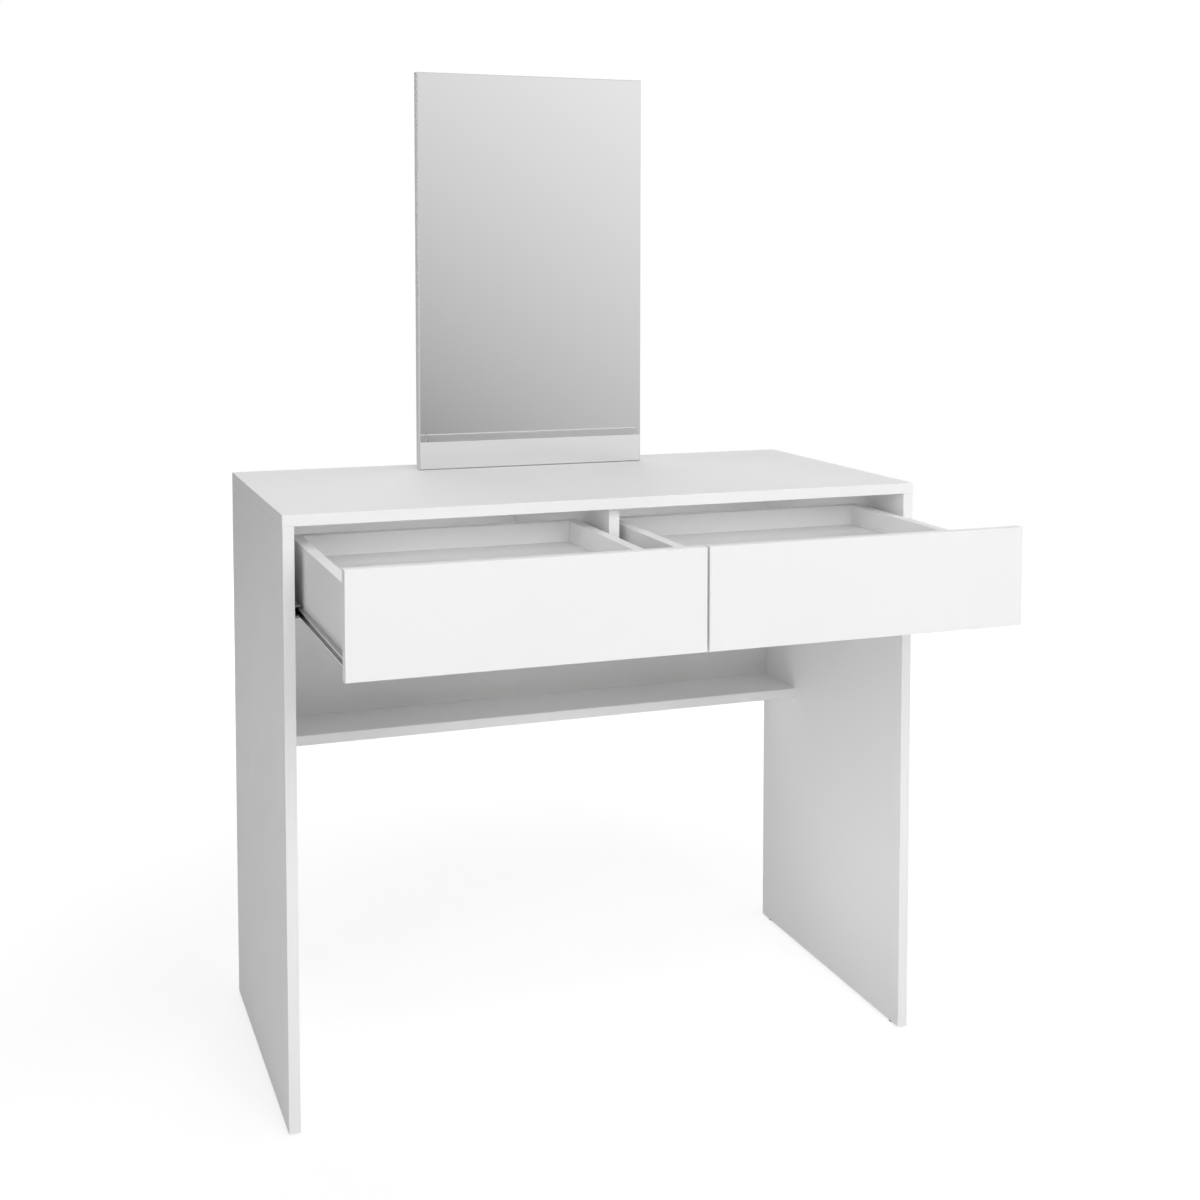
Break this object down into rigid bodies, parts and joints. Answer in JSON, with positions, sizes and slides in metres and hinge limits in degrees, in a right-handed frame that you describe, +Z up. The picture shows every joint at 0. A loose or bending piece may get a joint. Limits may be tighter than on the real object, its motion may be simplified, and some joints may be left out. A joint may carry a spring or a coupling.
{
  "type": "dressing table with mirror",
  "caption": "White laminated dressing table with panel sides, a rear shelf, drawers on ball bearing slides and an upright rectangular mirror on its top.",
  "frame": {"origin": "on the floor, under the middle of the table's box with both drawers open", "axes": "+X to the right as seen from the front, +Y to the back, +Z up"},
  "size_m": [0.9, 0.755, 1.4],
  "materials": {
    "white_laminate": "matt white melamine facing on particleboard, raw chips on the unbanded edges",
    "white_edge_band": "satin white plastic of the edge bands and cam caps",
    "white_hardboard": "painted white hardboard, bare brown fibres on its cut edges and on the rear of the back panel",
    "mirror": "silvered float glass with a ground edge",
    "foam_tape": "matt foam",
    "zinc_steel": "bright zinc plated sheet and wire",
    "zinc_casting": "dull die-cast zinc",
    "ball_steel": "polished steel balls",
    "dowel_wood": "plain fluted beech dowels",
    "glide_plastic": "matt black plastic"
  },
  "bodies": {
    "carcass": {"back_panel": "white_hardboard", "cam_bolts": "zinc_steel", "cam_caps": "white_edge_band", "cam_locks": "zinc_casting", "centre_divider": "white_laminate", "divider_edge_bands": "white_edge_band", "floor_glides": "glide_plastic", "glide_nails": "zinc_steel", "left_bay_left_runner": "zinc_steel", "left_bay_right_runner": "zinc_steel", "left_side_panel": "white_laminate", "mirror_board": "white_laminate", "mirror_board_dowels": "dowel_wood", "mirror_board_edge_bands": "white_edge_band", "mirror_board_screws": "zinc_steel", "mirror_glass": "mirror", "mirror_tape_strips": "foam_tape", "panel_dowels": "dowel_wood", "rear_shelf": "white_laminate", "right_bay_left_runner": "zinc_steel", "right_bay_right_runner": "zinc_steel", "right_side_panel": "white_laminate", "runner_screws": "zinc_steel", "shelf_edge_band": "white_edge_band", "side_edge_bands": "white_edge_band", "top_edge_bands": "white_edge_band", "top_panel": "white_laminate"},
    "left_drawer": {"left_drawer_back": "white_laminate", "left_drawer_bottom": "white_hardboard", "left_drawer_box_edge_bands": "white_edge_band", "left_drawer_box_screws": "zinc_steel", "left_drawer_cam_bolts": "zinc_steel", "left_drawer_cam_locks": "zinc_casting", "left_drawer_dowels": "dowel_wood", "left_drawer_front": "white_laminate", "left_drawer_front_edge_bands": "white_edge_band", "left_drawer_left_side": "white_laminate", "left_drawer_left_slide": "zinc_steel", "left_drawer_right_side": "white_laminate", "left_drawer_right_slide": "zinc_steel", "left_drawer_slide_screws": "zinc_steel"},
    "right_drawer": {"right_drawer_back": "white_laminate", "right_drawer_bottom": "white_hardboard", "right_drawer_box_edge_bands": "white_edge_band", "right_drawer_box_screws": "zinc_steel", "right_drawer_cam_bolts": "zinc_steel", "right_drawer_cam_locks": "zinc_casting", "right_drawer_dowels": "dowel_wood", "right_drawer_front": "white_laminate", "right_drawer_front_edge_bands": "white_edge_band", "right_drawer_left_side": "white_laminate", "right_drawer_left_slide": "zinc_steel", "right_drawer_right_side": "white_laminate", "right_drawer_right_slide": "zinc_steel", "right_drawer_slide_screws": "zinc_steel"},
    "left_drawer_cages": {"left_drawer_ball_cages": "zinc_steel", "left_drawer_balls": "ball_steel"},
    "right_drawer_cages": {"right_drawer_ball_cages": "zinc_steel", "right_drawer_balls": "ball_steel"}
  },
  "joints": [
    {"name": "left_drawer_slide", "type": "slide", "parent": "carcass", "child": "left_drawer", "axis": [0, -1, 0], "range_m": [-0.3, 0]},
    {"name": "right_drawer_slide", "type": "slide", "parent": "carcass", "child": "right_drawer", "axis": [0, -1, 0], "range_m": [-0.3, 0]},
    {"name": "left_cage_roll", "type": "slide", "parent": "carcass", "child": "left_drawer_cages", "axis": [0, -1, 0], "range_m": [-0.15, 0]},
    {"name": "right_cage_roll", "type": "slide", "parent": "carcass", "child": "right_drawer_cages", "axis": [0, -1, 0], "range_m": [-0.15, 0]}
  ],
  "couplings": [
    {"joint": "left_cage_roll", "follows": "left_drawer_slide", "ratio": 0.5},
    {"joint": "right_cage_roll", "follows": "right_drawer_slide", "ratio": 0.5}
  ]
}
